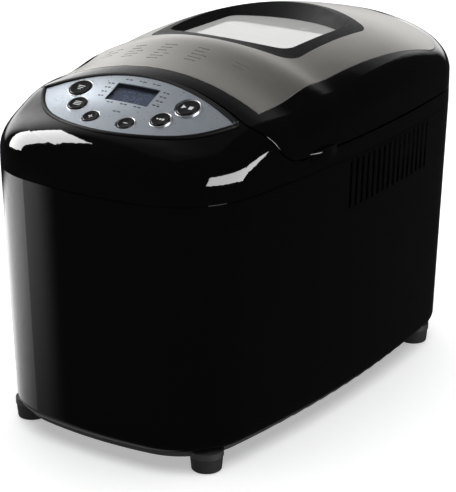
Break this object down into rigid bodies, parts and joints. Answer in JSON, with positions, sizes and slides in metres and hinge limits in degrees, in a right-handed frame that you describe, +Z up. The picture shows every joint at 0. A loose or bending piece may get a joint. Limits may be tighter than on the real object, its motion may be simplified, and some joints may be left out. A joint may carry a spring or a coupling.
{
  "type": "bread machine",
  "caption": "Glossy countertop bread maker with a bowed body, a domed hinged lid with window, a sloped round-button panel, and a long oven chamber holding a loaf pan.",
  "frame": {"origin": "on the floor, under the middle of the machine's bounding box", "axes": "+X to the right hand side seen from the front, +Y towards the back, along the long side, +Z up"},
  "size_m": [0.2512, 0.419, 0.3036],
  "materials": {
    "body_gloss": "high gloss black",
    "base_matte": "fine matte dark grey",
    "rubber": "matte black",
    "panel_silver": "satin silver grey",
    "button_black": "satin black",
    "trim_chrome": "polished",
    "lcd_glass": "clear over a dark grey display",
    "lcd_dark": "dark blue grey",
    "board_green": "solder mask",
    "component_black": "matte",
    "decor_steel": "brushed along the lid",
    "clear_glass": "clear",
    "sheet_steel": "plain sheet",
    "aluminised": "satin",
    "heater_steel": "oxidised",
    "pan_coat": "non-stick coat",
    "cast_alloy": "cast",
    "bright_steel": "turned",
    "brass": "turned",
    "seal_silicone": "soft grey",
    "nylon_white": "moulded",
    "motor_paint": "satin grey"
  },
  "bodies": {
    "housing": {"lower_housing": "body_gloss", "base_plate": "base_matte", "foot_front_left": "rubber", "foot_front_right": "rubber", "foot_back_left": "rubber", "foot_back_right": "rubber", "base_screws": "bright_steel", "cord_gland": "base_matte", "upper_housing": "body_gloss", "control_fascia": "panel_silver", "lcd_window": "lcd_glass", "lcd_module": "lcd_dark", "button_rings": "trim_chrome", "control_board": "board_green", "tact_switches": "component_black", "panel_screws": "bright_steel", "hinge_brackets": "sheet_steel", "oven_chamber": "aluminised", "heating_element": "heater_steel", "element_supports": "sheet_steel", "temperature_sensor": "bright_steel", "thermal_fuse": "component_black", "heat_shield": "sheet_steel", "bearing_blocks": "cast_alloy", "motor_belt": "rubber", "timing_belt": "rubber", "motor_bracket": "sheet_steel", "motor": "motor_paint", "capacitor": "aluminised", "power_board": "board_green", "power_components": "component_black"},
    "lid": {"lid_frame": "body_gloss", "decor_plate": "decor_steel", "window_bezel": "body_gloss", "window_glass": "clear_glass", "lid_liner": "sheet_steel", "liner_flange": "sheet_steel", "inner_glass": "clear_glass", "lid_seal": "seal_silicone", "hinge_pins": "bright_steel"},
    "pan": {"bread_pan": "pan_coat", "pan_base": "cast_alloy", "pan_bushings": "brass"},
    "handle": {"pan_handle": "bright_steel"},
    "paddle_front": {"kneading_paddle_front": "pan_coat", "pan_shaft_front": "bright_steel"},
    "paddle_rear": {"kneading_paddle_rear": "pan_coat", "pan_shaft_rear": "bright_steel"},
    "drive_front": {"drive_shaft_front": "bright_steel", "drive_pulley_front": "nylon_white"},
    "drive_rear": {"drive_shaft_rear": "bright_steel", "drive_pulley_rear": "nylon_white"},
    "rotor": {"motor_shaft": "bright_steel", "motor_pulley": "nylon_white"},
    "button_outer_left": {"button_outer_left": "button_black"},
    "button_outer_right": {"button_outer_right": "button_black"},
    "button_middle_left": {"button_middle_left": "button_black"},
    "button_middle_right": {"button_middle_right": "button_black"},
    "button_inner_left": {"button_inner_left": "button_black"},
    "button_inner_right": {"button_inner_right": "button_black"}
  },
  "joints": [
    {"name": "lid_hinge", "type": "hinge", "parent": "housing", "child": "lid", "pos_m": [0, 0.206, 0.2415], "axis": [-1, 0, 0], "range_deg": [0, 75]},
    {"name": "pan_lift", "type": "slide", "parent": "housing", "child": "pan", "axis": [0, 0, 1], "range_m": [0, 0.02]},
    {"name": "handle_swing", "type": "hinge", "parent": "pan", "child": "handle", "pos_m": [0, 0.06, 0.199], "axis": [0, -1, 0], "range_deg": [0, 24]},
    {"name": "motor_spin", "type": "hinge", "parent": "housing", "child": "rotor", "pos_m": [0, -0.138, 0.04], "axis": [0, 0, 1], "continuous": true},
    {"name": "drive_front_spin", "type": "hinge", "parent": "housing", "child": "drive_front", "pos_m": [0, 0.008, 0.04], "axis": [0, 0, 1], "continuous": true},
    {"name": "drive_rear_spin", "type": "hinge", "parent": "housing", "child": "drive_rear", "pos_m": [0, 0.112, 0.04], "axis": [0, 0, 1], "continuous": true},
    {"name": "paddle_front_spin", "type": "hinge", "parent": "pan", "child": "paddle_front", "pos_m": [0, 0.008, 0.1], "axis": [0, 0, 1], "continuous": true},
    {"name": "paddle_rear_spin", "type": "hinge", "parent": "pan", "child": "paddle_rear", "pos_m": [0, 0.112, 0.1], "axis": [0, 0, 1], "continuous": true},
    {"name": "button_outer_left_press", "type": "slide", "parent": "housing", "child": "button_outer_left", "axis": [0, 0.3896, -0.921], "range_m": [0, 0.001], "stiffness_N_per_m": 400, "springref_m": -0.0006},
    {"name": "button_outer_right_press", "type": "slide", "parent": "housing", "child": "button_outer_right", "axis": [0, 0.3896, -0.921], "range_m": [0, 0.001], "stiffness_N_per_m": 400, "springref_m": -0.0006},
    {"name": "button_middle_left_press", "type": "slide", "parent": "housing", "child": "button_middle_left", "axis": [0, 0.3896, -0.921], "range_m": [0, 0.001], "stiffness_N_per_m": 400, "springref_m": -0.0006},
    {"name": "button_middle_right_press", "type": "slide", "parent": "housing", "child": "button_middle_right", "axis": [0, 0.3896, -0.921], "range_m": [0, 0.001], "stiffness_N_per_m": 400, "springref_m": -0.0006},
    {"name": "button_inner_left_press", "type": "slide", "parent": "housing", "child": "button_inner_left", "axis": [0, 0.3896, -0.921], "range_m": [0, 0.001], "stiffness_N_per_m": 400, "springref_m": -0.0006},
    {"name": "button_inner_right_press", "type": "slide", "parent": "housing", "child": "button_inner_right", "axis": [0, 0.3896, -0.921], "range_m": [0, 0.001], "stiffness_N_per_m": 400, "springref_m": -0.0006}
  ],
  "couplings": [
    {"joint": "motor_spin", "follows": "drive_front_spin", "ratio": 5},
    {"joint": "drive_rear_spin", "follows": "drive_front_spin", "ratio": 1},
    {"joint": "paddle_front_spin", "follows": "drive_front_spin", "ratio": 1},
    {"joint": "paddle_rear_spin", "follows": "drive_front_spin", "ratio": 1}
  ]
}
